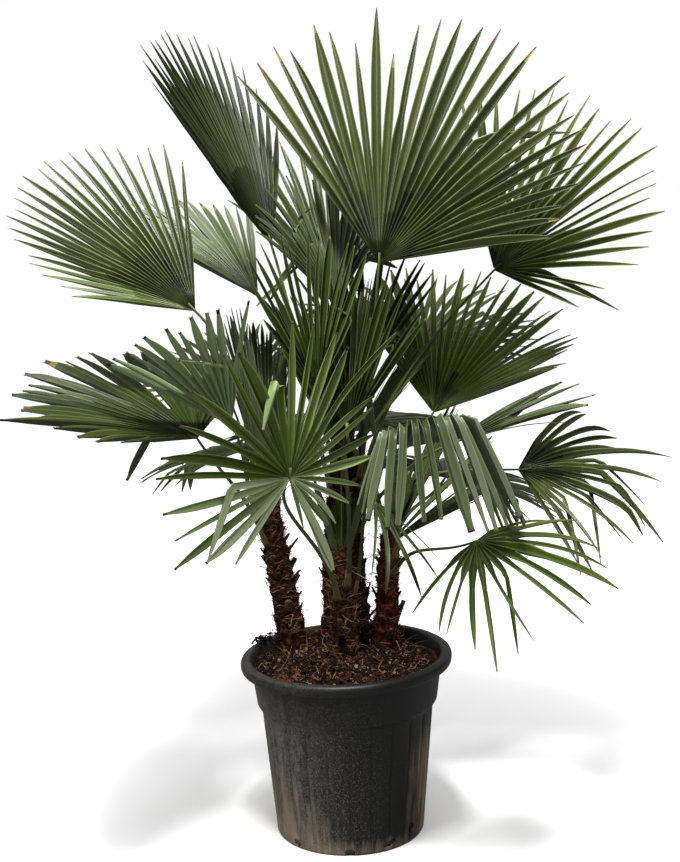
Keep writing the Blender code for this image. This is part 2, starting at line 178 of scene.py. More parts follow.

# How a frond's blade looks: its greens, degrees between segments, the share of them that is joined
# and how much that varies, how sharply they are folded, how unruly their free ends are, how long
# they stay wide, how withered their tips are, how wide they are, the share that is kinked, how
# blunt they end, how bright the greens are, which holds painted light on some fronds, the angles
# past which segments take the silvery greens of a painted highlight, and how much the leaf shines.
Look = namedtuple("Look", "greens pitch split ragged fold unruly taper wither wide kinked blunt tone"
                          " silvery sheen", defaults=(1.0, 0.0, 0.0, 1.0, (-360, 360), 0.42))
# The low tones and dark greens of the inner fronds (centre_up, centre_young, centre_blue, centre_dark,
# centre_tall, front_hang) are painted shade for the dark deep in the crown. The tones above 1 on top_right
# and centre_low are a painted highlight.
LOOKS = {
    "top_centre": Look(OLIVE, 4.7, 0.43, 0.06, 2.2, 0.4, 2.6, 1.6, 0.92, tone=0.8),
    "top_right": Look(OLIVE, 5.6, 0.4, 0.06, 2.0, 0.45, 2.4, 1.0, 0.8, 0.03, tone=1.35),
    "top_left": Look(DEEP, 4.7, 0.38, 0.05, 2.2, 0.35, 2.4, 1.0, 0.8, tone=0.26, sheen=0.16),
    "left": Look(OLIVE, 4.6, 0.42, 0.06, 2.0, 0.35, 2.4, 1.0, 0.8, tone=0.75, silvery=(-38, 360)),
    "left_behind": Look(PALE, 4.6, 0.5, 0.1, 1.8, 0.6, 3.0, 1.2, 0.85, 0.1, tone=0.75),
    "left_low": Look(BRIGHT, 6.4, 0.62, 0.08, 1.4, 0.6, 4.0, 1.4, 0.85, 0.05, 0.3, 0.3, sheen=0.16),
    "left_mid": Look(BLUISH, 4.6, 0.5, 0.1, 1.5, 0.6, 4.0, 1.0, 0.95, 0.05, 0.3, 2.1, sheen=0.3),
    "centre_low": Look(BRIGHT, 11.5, 0.28, 0.06, 1.4, 0.6, 4.0, 1.0, 0.9, 0.08, 0.2, 1.3, (-80, 85), 0.3),
    "right_mid": Look(BRIGHT, 5.0, 0.44, 0.07, 1.8, 0.7, 3.0, 1.0, 0.9, 0.05, 0.1, 0.95, sheen=0.24),
    "right_low": Look(BRIGHT, 13.0, 0.24, 0.05, 1.6, 1.0, 3.4, 1.4, 0.5, 0.1, 0.1, 0.7, sheen=0.3),
    "right_far": Look(OLIVE, 7.5, 0.28, 0.07, 1.6, 1.3, 3.6, 1.2, 0.74, 0.5, 0.1, 0.75, sheen=0.3),
    "right_droop": Look(PALE, 9.4, 0.31, 0.05, 1.5, 0.7, 6.0, 0.6, 0.82, 0.0, 0.45, 0.58, sheen=0.3),
    "right_up": Look(BRIGHT, 6.0, 0.34, 0.1, 1.4, 1.2, 4.0, 1.0, 0.95, 0.05, 0.25, 0.4, sheen=0.24),
    "centre_up": Look(DEEP, 5.0, 0.38, 0.1, 1.8, 1.0, 3.0, 0.8, 0.9, 0.1, tone=0.6, sheen=0.1),
    "centre_young": Look(BRIGHT, 5.0, 0.4, 0.1, 1.8, 0.9, 3.2, 1.0, 0.9, 0.08, tone=0.55, sheen=0.1),
    "centre_blue": Look(PALE, 4.0, 0.55, 0.12, 1.8, 1.0, 3.2, 0.8, 0.9, 0.25, 0.2, 0.6, sheen=0.2),
    "centre_dark": Look(DEEP, 4.6, 0.4, 0.12, 1.8, 1.2, 3.0, 0.8, 0.85, 0.12, tone=0.55, sheen=0.1),
    "centre_tall": Look(DEEP, 5.2, 0.38, 0.12, 1.8, 1.2, 3.0, 0.8, 0.8, 0.15, tone=0.6, sheen=0.1),
    "front_hang": Look(DEEP, 13.0, 0.18, 0.05, 1.4, 1.2, 3.4, 1.2, 0.5, 0.2, tone=0.6, sheen=0.16),
    "back_up": Look(DEEP, 5.2, 0.43, 0.06, 1.2, 0.5, 2.5, 1.0, 0.85),
    "back_right": Look(OLIVE, 6.2, 0.4, 0.07, 1.2, 0.7, 2.8, 1.2, 0.8, 0.1, 0.1, 0.8),
    "back_left": Look(OLIVE, 6.2, 0.4, 0.07, 1.2, 0.7, 2.8, 1.2, 0.8, 0.1, 0.1, 0.8),
    "back_low": Look(DEEP, 7.0, 0.38, 0.07, 1.0, 1.0, 3.0, 1.4, 0.75, 0.2, 0.1),
    "back_left_low": Look(BRIGHT, 8.0, 0.36, 0.07, 1.0, 1.0, 3.0, 1.4, 0.75, 0.25, 0.1, 0.7),
    "back_right_low": Look(OLIVE, 7.5, 0.36, 0.07, 1.0, 1.0, 3.0, 1.4, 0.75, 0.25, 0.1, 0.8),
}

# Single segments that grow unlike their neighbours: where in the blade, how long beside the usual,
# and past kink how far they fall and turn aside, and how far they hang.
Strand = namedtuple("Strand", "angle stretch kink fall aside limp", defaults=(2.0, 0.0, 0.0, 0.0))
STRANDS = {
    "left_low": ((-34, 1.24), (48, 0.95, 0.32, 0.6), (87, 0.8, 0.3, 1.0, -0.3), (98, 1.15, 0.5),
                 (92, 0.95, 0.55, 0.0, 0.1)),
    "centre_low": ((52, 1.3, 0.55, 0.4, -0.3), (-119, 1.15), (-144, 0.92), (150, 1.8)),
    "top_centre": ((35, 0.94, 0.63, 0.3), (-12, 0.86), (-2, 0.8)),
    "top_right": ((53, 0.93, 0.39, 1.0, -0.8),),
    "right_far": ((-20, 1.17), (-29, 0.86), (13, 1.04, 0.46, 1.1, 1.1), (-3, 1.15, 0.47, 0.3, 0.2)),
    "right_low": ((90, 0.9), (74, 1.03, 2.0, 0.0, 0.0, 0.2), (62, 1.12), (21, 0.94), (2, 1.05),
                  (36, 0.95, 0.4, 1.5)),
}

# The rows of a segment, as shares of its length, and its columns from margin to margin. The
# strips between the columns are the blade's own green (0), its margins with a painted highlight (1),
# or its valley (2), which has painted shade on the upper side.
ROWS = np.array((0.012, 0.1, 0.2, 0.29, 0.36, 0.42, 0.48, 0.54, 0.61, 0.68, 0.75, 0.82, 0.88, 0.93,
                 0.965, 0.985, 1.0))
COLUMNS = np.array((-1.0, -0.84, -0.5, -0.17, 0.17, 0.5, 0.84, 1.0))
STRIPS = np.array((1, 0, 0, 2, 0, 0, 1))
# From the hub up to this share of its length at most, a whole segment has its valley's shade, on
# the upper side a painted shade for the deep folds near the hub, but not in a blade whose segments
# are this many degrees apart or more. The margins' painted highlight starts farther out.
HEART_SHADE = 0.3
OPEN_PITCH = 8.0
LIT_EDGE_FROM = 0.36

# A segment's width: how much of the space between two it fills while joined and once free, how much
# it widens, the free share within which its own girth sets in, and the half width it never lacks.
JOINED_FILL = 1.02
FREE_FILL = 0.97
FREE_SPREAD = 0.8
GIRTH_WITHIN = 0.2
LEAST_HALF = 0.0005
# Its fold: where between middle and margin it is level, and how deep it is at the hub and farther out.
FOLD_LEVEL = 0.55
FOLD_AT_HUB = 1.6
FOLD_FLATTENS = 1.1

# The share of segments that are slight, and how much shorter and how slim those are. Kinks fold over
# within this share of a segment, and one that has no kink has it past its end.
SLIGHT_SHARE = 0.15
SLIGHT_LACK = 0.06
SLIGHT_GIRTH = 0.6
KINK_LENGTH = 0.04
NO_KINK = 2.0
PATH_STEPS = 50
LEAF_THICKNESS = 0.0006

# Where the seeded draws of each kind of piece start.
SOIL_SEED = 11
CHIP_SEED = 21
STUB_SEED = 31
FIBRE_SEED = 41
STEM_SEED = 50
STALK_SEED = 61
LEAF_SEED = 100
SPEAR_SEED = 200

# Surfaces this rough or rougher hardly shine.
DULL_FROM = 0.8
DULL_SHEEN = 0.12

# The studio: how bright its ceiling and its walls are, and how much light the floor sends back.
SKY_LOW = 0.05
SKY_HIGH = 1.55
LAMP_POWER = 360.0
LAMP_SIZE = 0.9
LAMP_SPOT = (-0.3, -1.3, 4.7)
LAMP_AIM = (0.0, 0.0, 1.0)
FLOOR_SIZE = 60.0
FLOOR_BOUNCE = 0.22
WHITE = (1.0, 1.0, 1.0, 1.0)
FLOOR_WHITE = (0.97, 0.97, 0.97, 1.0)

# The photograph's viewpoint, found from the ellipses of the pot's rim, collar and foot.
CAMERA_SPOT = (0.0, -3.2, 1.464)
CAMERA_PITCH = np.radians(8.95)
CAMERA_ROLL = np.radians(1.58)
CAMERA_LENS = 58.55


def unit(vectors):
    return vectors / np.maximum(np.linalg.norm(vectors, axis=-1, keepdims=True), 1e-9)


def compass(turn, height=0.0):
    """The points at these turns of a circle of radius 1, at that height."""
    return np.stack((np.cos(turn), np.sin(turn), np.broadcast_to(height, np.shape(turn))), axis=-1)


def turned_from(turn, other):
    """How far turn is from the other one, between minus and plus half a circle."""
    return (turn - other + np.pi) % (2 * np.pi) - np.pi


def ripple(points, size, rng, waves=8):
    """A smooth random height at each point, mostly within -1 to 1, whose bumps have that size."""
    total = np.zeros(points.shape[:-1])
    for _ in range(waves):
        wave = unit(rng.normal(size=3)) * 2 * np.pi / (size * rng.uniform(0.7, 1.6))
        total += np.sin(points @ wave + rng.uniform(0, 2 * np.pi))
    return total / np.sqrt(waves)


def shader_of(material):
    return material.node_tree.nodes["Principled BSDF"]


def new_material(name, colour, roughness):
    made = bpy.data.materials.new(name)
    made.use_nodes = True
    shader = shader_of(made)
    shader.inputs["Base Color"].default_value = (*colour, 1.0)
    shader.inputs["Roughness"].default_value = roughness
    if roughness >= DULL_FROM:
        shader.inputs["Specular IOR Level"].default_value = DULL_SHEEN
    return made


def add_node(material, kind, **values):
    """A shader node with the given input values. Keys that aren't inputs are properties."""
    node = material.node_tree.nodes.new(kind)
    for key, value in values.items():
        if key in node.inputs:
            node.inputs[key].default_value = value
        else:
            setattr(node, key, value)
    return node


def link(material, source, target):
    material.node_tree.links.new(source, target)


def add_bump(material, height, strength, distance):
    bump = add_node(material, "ShaderNodeBump", Strength=strength, Distance=distance)
    link(material, height, bump.inputs["Height"])
    link(material, bump.outputs["Normal"], shader_of(material).inputs["Normal"])


def noise(material, place, scale, detail, roughness):
    made = add_node(material, "ShaderNodeTexNoise", Scale=scale, Detail=detail, Roughness=roughness)
    link(material, place, made.inputs["Vector"])
    return made.outputs["Fac"]


def remap(material, source, low, high, start=0.0, end=1.0):
    """The source's range from low to high spread over start to end, and held there outside it."""
    made = add_node(material, "ShaderNodeMapRange")
    for socket, value in (("From Min", low), ("From Max", high), ("To Min", start), ("To Max", end)):
        made.inputs[socket].default_value = value
    link(material, source, made.inputs["Value"])
    return made.outputs["Result"]


def combine(material, operation, first, *others):
    """The first socket joined with each of the others in turn by a math operation."""
    for other in others:
        made = add_node(material, "ShaderNodeMath", operation=operation)
        link(material, first, made.inputs[0])
        link(material, other, made.inputs[1])
        first = made.outputs["Value"]
    return first


def blend(material, factor, first, second):
    """The first colour where the factor is 0 and the second where it is 1. Colours or sockets."""
    made = add_node(material, "ShaderNodeMix", data_type="RGBA")
    link(material, factor, made.inputs[0])
    for socket, colour in ((made.inputs[6], first), (made.inputs[7], second)):
        if isinstance(colour, tuple):
            socket.default_value = (*colour, 1.0)
        else:
            link(material, colour, socket)
    return made.outputs[2]


def position(material, stretch=None):
    """Where on the piece a spot is, in metres, times stretch for a pattern drawn out one way."""
    place = add_node(material, "ShaderNodeTexCoord").outputs["Object"]
    if stretch is None:
        return place
    mapping = add_node(material, "ShaderNodeMapping", Scale=stretch)
    link(material, place, mapping.inputs["Vector"])
    return mapping.outputs["Vector"]


def leaf_material(name, colour, roughness, sheen):
    """A leaf surface: one base colour, fine veins along the segment and an uneven waxy gloss."""
    made = new_material(name, colour, roughness)
    shader_of(made).inputs["Specular IOR Level"].default_value = sheen
    place = add_node(made, "ShaderNodeUVMap", uv_map="Grain")
    veins = add_node(made, "ShaderNodeTexWave", bands_direction="X", Scale=3.2, Distortion=0.6, Detail=2.0)
    link(made, place.outputs["UV"], veins.inputs["Vector"])
    add_bump(made, veins.outputs["Fac"], 0.35, 0.0004)
    mottle = noise(made, position(made), 45.0, 3.0, 0.5)
    gloss = remap(made, mottle, 0.0, 1.0, roughness - 0.1, roughness + 0.12)
    link(made, gloss, shader_of(made).inputs["Roughness"])
    return made


LEAF_SURFACES = {}


def leaf_surface(colour, roughness, sheen):
    """The leaf material of that colour, made once and shared by all the leaves that have it."""
    key = (*(round(float(value), 4) for value in colour), roughness, sheen)
    if key not in LEAF_SURFACES:
        LEAF_SURFACES[key] = leaf_material(f"leaf_surface_{len(LEAF_SURFACES)}", key[:3], roughness, sheen)
    return LEAF_SURFACES[key]


def patterned_material(name, stops, roughness, scale, depth, stretch=None):
    """A material whose noise runs through the colour stops (place, colour), and whose bump follows it."""
    made = new_material(name, stops[0][1], roughness)
    pattern = noise(made, position(made, stretch), scale, 8.0, 0.62)
    ramp = add_node(made, "ShaderNodeValToRGB")
    for index, (spot, colour) in enumerate(stops):
        if index > 1:
            ramp.color_ramp.elements.new(spot)
        ramp.color_ramp.elements[index].position = spot
        ramp.color_ramp.elements[index].color = (*colour, 1.0)
    link(made, pattern, ramp.inputs["Fac"])
    link(made, ramp.outputs["Color"], shader_of(made).inputs["Base Color"])
    add_bump(made, pattern, 0.9, depth)
    return made


def add_mesh(name, points, faces, materials, shades=None, grain=None):
    """An object from points and four-cornered faces, with a material index for each face and UVs."""
    mesh = bpy.data.meshes.new(name)
    faces = np.asarray(faces, np.int32).reshape(-1, 4)
    mesh.vertices.add(points.size // 3)
    mesh.vertices.foreach_set("co", np.ascontiguousarray(points, np.float32).ravel())
    mesh.loops.add(faces.size)
    mesh.loops.foreach_set("vertex_index", faces.ravel())
    mesh.polygons.add(len(faces))
    mesh.polygons.foreach_set("loop_start", np.arange(0, faces.size, 4, dtype=np.int32))
    for material in materials:
        mesh.materials.append(material)
    if shades is not None:
        mesh.polygons.foreach_set("material_index", np.asarray(shades, np.int32).ravel())
    if grain is not None:
        layer = mesh.uv_layers.new(name="Grain")
        corners = grain.reshape(-1, 2)[faces.ravel()]
        layer.data.foreach_set("uv", np.ascontiguousarray(corners, np.float32).ravel())
    mesh.polygons.foreach_set("use_smooth", np.ones(len(faces), bool))
    mesh.update(calc_edges=True)
    mesh.validate()
    piece = bpy.data.objects.new(name, mesh)
    bpy.context.scene.collection.objects.link(piece)
    return piece


def keep(piece, slot, *nodes):
    """Makes the piece part of the plant, in place of the solid nodes."""
    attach(piece, BODY)
    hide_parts(*nodes)


def grid_faces(count, rows, columns, closed=False):
    """Faces of several equal grids of points. A closed grid joins its last column to its first."""
    last = columns if closed else columns - 1
    row, column = np.meshgrid(np.arange(rows - 1), np.arange(last), indexing="ij")
    beside = (column + 1) % columns
    one = np.stack((row * columns + column, row * columns + beside,
                    (row + 1) * columns + beside, (row + 1) * columns + column), axis=-1)
    shift = np.arange(count)[:, None, None, None] * rows * columns
    return (one[None] + shift).reshape(-1, 4)


def blade_axes(frond):
    """Unit vectors along the middle of the blade, towards its right half and off its upper side."""
    azimuth, elevation, roll = np.radians((frond.azimuth, frond.elevation, frond.roll))
    level = compass(azimuth)
    along = level * np.cos(elevation) - DOWN * np.sin(elevation)
    up = -level * np.sin(elevation) - DOWN * np.cos(elevation)
    side = np.cross(along, up)
    return along, side * np.cos(roll) + up * np.sin(roll), up * np.cos(roll) - side * np.sin(roll)


# How each segment of a blade grows: arrays of its joined share, its length and width beside the
# usual, and how far its free part swings aside, hangs and twists. Past kink it falls and turns aside.
Habit = namedtuple("Habit", "split stretch girth swing limp twist kink fall aside")


def free_share(reach, habit):
    """How far along its free part each segment is at that share of its length."""
    return np.clip((reach - habit.split[:, None]) / (1 - habit.split[:, None]), 0, 1)


def segment_paths(frond, angles, habit):
    """Points down each segment, one for each of its rows, from the hub at the origin."""
    along, side, up = blade_axes(frond)
    half = (angles < 0).astype(int)
    sweep, cup, short = (np.array(pair, float)[half] for pair in (frond.sweep, frond.cup, frond.short))
    turn, lift = np.radians(angles)[:, None], np.radians(cup * np.abs(angles) / 90)[:, None]
    aside = np.sin(turn)
    start = along * np.cos(turn) + side * aside * np.cos(lift) + up * np.abs(aside) * np.sin(lift)
    across = unit(np.cross(start, up))[:, None]
    length = frond.length * (1 - short * (angles / sweep) ** 2) * habit.stretch
    reach = (np.arange(PATH_STEPS) + 0.5) / PATH_STEPS
    free = free_share(reach, habit)[..., None]
    heading = start[:, None] + DOWN * frond.droop * (reach ** BEND_POWER)[:, None]
    heading = heading + across * habit.swing[:, None, None] * free
    heading = heading + DOWN * habit.limp[:, None, None] * free ** 2
    past = np.clip((reach - habit.kink[:, None]) / KINK_LENGTH + 0.5, 0, 1)[..., None]
    bent = heading * CREASE_KEEP + DOWN * habit.fall[:, None, None] + across * habit.aside[:, None, None]
    steps = unit(heading + (bent - heading) * past) * (length / PATH_STEPS)[:, None, None]
    points = np.concatenate((np.zeros((len(angles), 1, 3)), np.cumsum(steps, axis=1)), axis=1)
    place = ROWS * PATH_STEPS
    index = np.minimum(place.astype(int), PATH_STEPS - 1)
    share = (place - index)[:, None]
    return points[:, index] * (1 - share) + points[:, index + 1] * share


def blade_points(frond, look, angles, habit):
    """The points of every segment's rows and columns, folded up towards its margins."""
    points = segment_paths(frond, angles, habit)
    fan = segment_paths(frond, angles + 0.5, habit) - segment_paths(frond, angles - 0.5, habit)
    run = unit(np.gradient(points, axis=1))
    fan -= run * (fan * run).sum(-1, keepdims=True)
    spacing = np.linalg.norm(fan, axis=-1) * (angles[1] - angles[0])
    across = unit(fan)
    off = np.cross(across, run)
    free = free_share(ROWS, habit)
    at_split = np.array([np.interp(split, ROWS, row) for split, row in zip(habit.split, spacing)])
    slim = 1 - (1 - habit.girth[:, None]) * np.minimum(free / GIRTH_WITHIN, 1)
    taper = np.maximum(1 - free ** look.taper, look.blunt)
    blade = at_split[:, None] * FREE_FILL * (1 + FREE_SPREAD * free) * taper * slim
    width = np.where(free > 0, blade, spacing * JOINED_FILL) / 2 + LEAST_HALF
    twist = habit.twist[:, None] * free
    turn, tilt = np.cos(twist)[..., None], np.sin(twist)[..., None]
    across, off = across * turn + off * tilt, off * turn - across * tilt
    rise = np.abs(COLUMNS) - FOLD_LEVEL
    depth = width * look.fold * (FOLD_AT_HUB - FOLD_FLATTENS * ROWS)
    sideways = (width[..., None] * COLUMNS)[..., None] * across[:, :, None]
    upward = (depth[..., None] * rise)[..., None] * off[:, :, None]
    return points[:, :, None] + sideways + upward + np.array(frond.hub)


def blade_habit(frond, look, angles, rng):
    """A seeded habit for every segment of a frond, with its special strands."""
    count = len(angles)
    pitch = np.radians(angles[1] - angles[0])
    kinked = rng.random(count) < look.kinked
    kink = np.where(kinked, rng.uniform(0.42, 0.78, count), frond.crease or NO_KINK)
    slight = rng.random(count) < SLIGHT_SHARE
    habit = Habit(
        split=look.split + rng.normal(0, look.ragged, count),
        stretch=1 - np.abs(rng.normal(0, 0.025, count)) - SLIGHT_LACK * slight,
        girth=look.wide * np.clip(rng.normal(1, 0.12, count), 0.6, 1.3)
        * np.where(slight, SLIGHT_GIRTH, 1.0),
        swing=rng.normal(0, 0.9 * pitch * look.unruly, count),
        limp=np.abs(rng.normal(0, 0.12 * look.unruly, count)),
        twist=rng.normal(0, 0.35 * look.unruly, count),
        kink=kink + rng.normal(0, 0.015, count),
        fall=np.where(kinked, rng.uniform(0.2, 1.1, count), 1.0),
        aside=np.where(kinked, rng.normal(0, 0.5, count), 0.0),
    )
    for values in STRANDS.get(frond.name, ()):
        strand = Strand(*values)
        spot = np.abs(angles - strand.angle).argmin()
        for field in Strand._fields[1:]:
            getattr(habit, field)[spot] = getattr(strand, field)
        habit.swing[spot] = 0.0
    return habit


def blade_shades(look, angles, rng):
    """A material index for every face: a green for the segment, its strips of painted highlight and painted
    shade, and its withered tip.
    """
    count = len(angles)
    middle = (ROWS[1:] + ROWS[:-1]) / 2
    # Near the hub the margins go without their painted highlight, and up to a random share of each segment
    # the valley's painted shade covers all of it.
    strips = np.where((middle[:, None] < LIT_EDGE_FROM) & (STRIPS == 1), 0, STRIPS)
    heart = rng.uniform(0.0, HEART_SHADE if look.pitch < OPEN_PITCH else 0.0, count)
    strips = np.where(middle[None, :, None] < heart[:, None, None], 2, strips[None])
    greens = rng.integers(0, len(look.greens), count)
    # Segments past the blade's set angles take the silvery greens, a painted highlight.
    silvery = (angles < look.silvery[0]) | (angles > look.silvery[1])
    greens = greens + len(look.greens) * silvery
    shades = greens[:, None, None] * 3 + strips
    for index, reach in enumerate(TIP_REACH):
        fresh = 1 - np.abs(rng.normal(0, reach * look.wither, count))
        withered = (len(look.greens) + len(LIT_SILVER)) * 3 + index
        shades = np.where((middle > fresh[:, None])[..., None], withered, shades)
    return shades


def blade_materials(look):
    """The upper surfaces that blade_shades counts in, then as many for the underside."""
    upper, lower = [], []
    for colour in np.vstack((look.greens, LIT_SILVER)) * look.tone:
        under = colour * (1 - UNDER_BLOOM) + BLOOM * UNDER_BLOOM * look.tone
        # The margin is lightened as a painted highlight, and the upper valley is darkened as painted shade.
        # The underside's valley is its paler midrib.
        lit_margin = colour * (1 - UPPER_LIT_EDGE) + LIT_EDGE * UPPER_LIT_EDGE * look.tone
        upper += [colour, lit_margin, colour * UPPER_VALLEY_SHADE]
        lower += [under, under * (1 - UNDER_LIT_EDGE) + LIT_EDGE * UNDER_LIT_EDGE, under * UNDER_VALLEY]
    return [leaf_surface(colour, roughness, look.sheen)
            for side, roughness in ((upper, UPPER_ROUGHNESS), (lower, UNDER_ROUGHNESS))
            for colour in (*side, *TIP_SHADES)]


def add_blade(frond, look, seed, name, slot, *nodes):
    """A fan of folded segments, joined near the hub, in the shades of its palette."""
    rng = np.random.default_rng(seed)
    count = round(sum(frond.sweep) / look.pitch) + 1
    angles = np.linspace(-frond.sweep[1], frond.sweep[0], count)
    points = blade_points(frond, look, angles, blade_habit(frond, look, angles, rng))
    grain = np.zeros(points.shape[:-1] + (2,))
    grain[..., 0] = COLUMNS
    grain[..., 1] = (ROWS * frond.length)[:, None]
    materials = blade_materials(look)
    piece = add_mesh(name, points, grid_faces(count, len(ROWS), len(COLUMNS)), materials,
                     blade_shades(look, angles, rng), grain)
    sheet = piece.modifiers.new("Thickness", "SOLIDIFY")
    sheet.thickness = LEAF_THICKNESS
    sheet.offset = -1.0
    sheet.material_offset = len(materials) // 2
    keep(piece, slot, *nodes)


def stem_at(stem, height):
    """Points of the stem's axis at the heights, and its radius there."""
    x, y, z, radius = np.array(stem.axis).T
    level = np.asarray(height, float)
    return (np.stack((np.interp(level, z, x), np.interp(level, z, y), level), axis=-1),
            np.interp(level, z, radius))


# A stalk's path starts this far inside its foot and below the stem's surface, and ends this far
# into the blade.
STALK_STEPS = 26
STALK_INSIDE = 0.012
STALK_SUNK = 0.004
STALK_INTO_BLADE = 0.022


def stalk_path(frond):
    """Points down the middle of a frond's stalk, from its foot on the stem into the blade."""
    stem = STEM_NAMED[frond.stem]
    centre, _ = stem_at(stem, frond.base)
    hub = np.array(frond.hub)
    to_hub = hub - centre
    turn = 2 * np.pi / stem.sides
    facing = (round(np.arctan2(to_hub[1], to_hub[0]) / turn - 0.5) + 0.5 + frond.facet) * turn
    outward = compass(facing)
    rise = min(np.arctan2(to_hub[2], np.hypot(*to_hub[:2])) + STALK_STEEPER, STALK_STEEPEST)
    edge, radius = stem_at(stem, frond.base + STALK_BASE_RADIUS * np.cos(rise))
    reach = (edge - centre) @ outward + radius * np.cos(turn / 2) + STALK_BASE_RADIUS * np.sin(rise)
    seat = centre + outward * reach
    leaving = outward * np.cos(rise) - DOWN * np.sin(rise)
    along, _, up = blade_axes(frond)
    tilt = WRAP_TILT if max(frond.sweep) > 90 else 0.0
    arriving = along * np.cos(tilt) + up * np.sin(tilt)
    start = seat + leaving * STALK_FOOT
    span = np.linalg.norm(hub - start)
    first, second = start + leaving * span * START_PULL, hub - arriving * span * END_PULL
    t = np.linspace(0, 1, STALK_STEPS)[:, None]
    back = 1 - t
    curve = start * back ** 3 + first * 3 * back ** 2 * t + second * 3 * back * t ** 2 + hub * t ** 3
    inner = seat - leaving * STALK_INSIDE - outward * STALK_SUNK
    return np.vstack((inner, seat, curve, hub + along * STALK_INTO_BLADE)), outward


def tubes(paths, half_width, half_depth, across, sides):
    """Closed tubes down several paths of equal count, oval across and off, with pinched ends."""
    run = unit(np.gradient(paths, axis=1))
    across = unit(across - run * (across * run).sum(-1, keepdims=True))
    off = np.cross(run, across)
    turn = np.arange(sides) * 2 * np.pi / sides
    ring = (across[:, :, None] * (np.cos(turn) * half_width[..., None])[..., None]
            + off[:, :, None] * (np.sin(turn) * half_depth[..., None])[..., None])
    points = paths[:, :, None] + ring
    first, last = paths[:, :1, None].repeat(sides, 2), paths[:, -1:, None].repeat(sides, 2)
    points = np.concatenate((first, points, last), axis=1)
    return points.reshape(-1, 3), grid_faces(len(paths), paths.shape[1] + 2, sides, closed=True)


# A stalk is brown where it sheathes the stem, then amber, then one of three greens.
STALK_SHADES = ((0.08, 0.038, 0.016), (0.12, 0.095, 0.028), (0.024, 0.036, 0.008), (0.042, 0.06, 0.013),
                (0.075, 0.095, 0.024))
SHEATH_ENDS = (0.07, 0.14)
STALK_SIDES = 12
STALK_ROUGHNESS = 0.5
STALK_SHEEN = 0.3


def add_stalks():
    rng = np.random.default_rng(STALK_SEED)
    paths, ways, widths, depths, shades, nodes = [], [], [], [], [], []
    for frond in FRONDS:
        path, outward = stalk_path(frond)
        share = np.linspace(0, 1, len(path))
        radius = STALK_BASE_RADIUS + (STALK_TIP_RADIUS - STALK_BASE_RADIUS) * share
        sheath = np.exp(-share / 0.05)
        paths.append(path)
        ways.append(np.cross(-DOWN, outward)[None].repeat(len(path), 0))
        widths.append(radius * (0.85 + 0.75 * sheath) * np.where(share > 0.97, 1.8, 1.0))
        depths.append(radius * (0.6 - 0.2 * sheath))
        row = np.concatenate((share, share[-1:]))
        green = 2 + rng.integers(0, 3)
        shades.append(np.where(row < SHEATH_ENDS[0], 0, np.where(row < SHEATH_ENDS[1], 1, green)))
        nodes.append("stalk_" + frond.name)
    points, faces = tubes(np.array(paths), np.array(widths), np.array(depths), np.array(ways), STALK_SIDES)
    looks = [leaf_material(f"stalk_{index}", colour, STALK_ROUGHNESS, STALK_SHEEN)
             for index, colour in enumerate(STALK_SHADES)]
    shades = np.array(shades)[..., None].repeat(STALK_SIDES, -1)
    piece = add_mesh("leaf_stalks", points, faces, looks, shades, np.zeros((len(points), 2)))
    keep(piece, "stalk", *nodes)


def lathe(name, profile, columns, materials, shape):
    """A body turned from a profile (radius, height). Shape moves its points: rows, columns, xyz."""
    turn = np.arange(columns) * 2 * np.pi / columns
    radius, height = np.array(profile).T
    points = compass(turn)[None] * radius[:, None, None] - DOWN * height[:, None, None]
    return add_mesh(name, shape(points), grid_faces(1, len(profile), columns, closed=True), materials)


def body_radius(height):
    top = COLLAR_RADIUS - BODY_STEP
    return FOOT_RADIUS + (top - FOOT_RADIUS) * height / COLLAR_FOOT


def collar_radius(height):
    return COLLAR_RADIUS + COLLAR_FLARE * (height - COLLAR_FOOT) / (RIM_LIP - COLLAR_FOOT)


POT_BLACK = (0.005, 0.005, 0.0046)
HAZE = (0.23, 0.212, 0.185)
DUST = (0.29, 0.22, 0.155)
SPLASH = (0.25, 0.24, 0.215)

# The areas of the pot that are dusty or splashed: a span of X and a span of Z, each from where there
# is least to where there is most, with those two amounts if they aren't 0 and 1.
DUSTY = (((0.02, -0.17), (0.27, 0.03)), ((0.11, 0.19), (0.32, 0.18, 0.0, 0.9)),
         ((0.1, -0.08, 0.55, 1.0), (0.055, 0.0)))
SPLASHED = ((0.1, -0.1, 0.06, 1.0), (0.4, 0.28, 0.2, 1.0))
HAZY_X = (0.05, -0.16)
HAZY_Z = (0.38, 0.28, 0.15, 1.0)


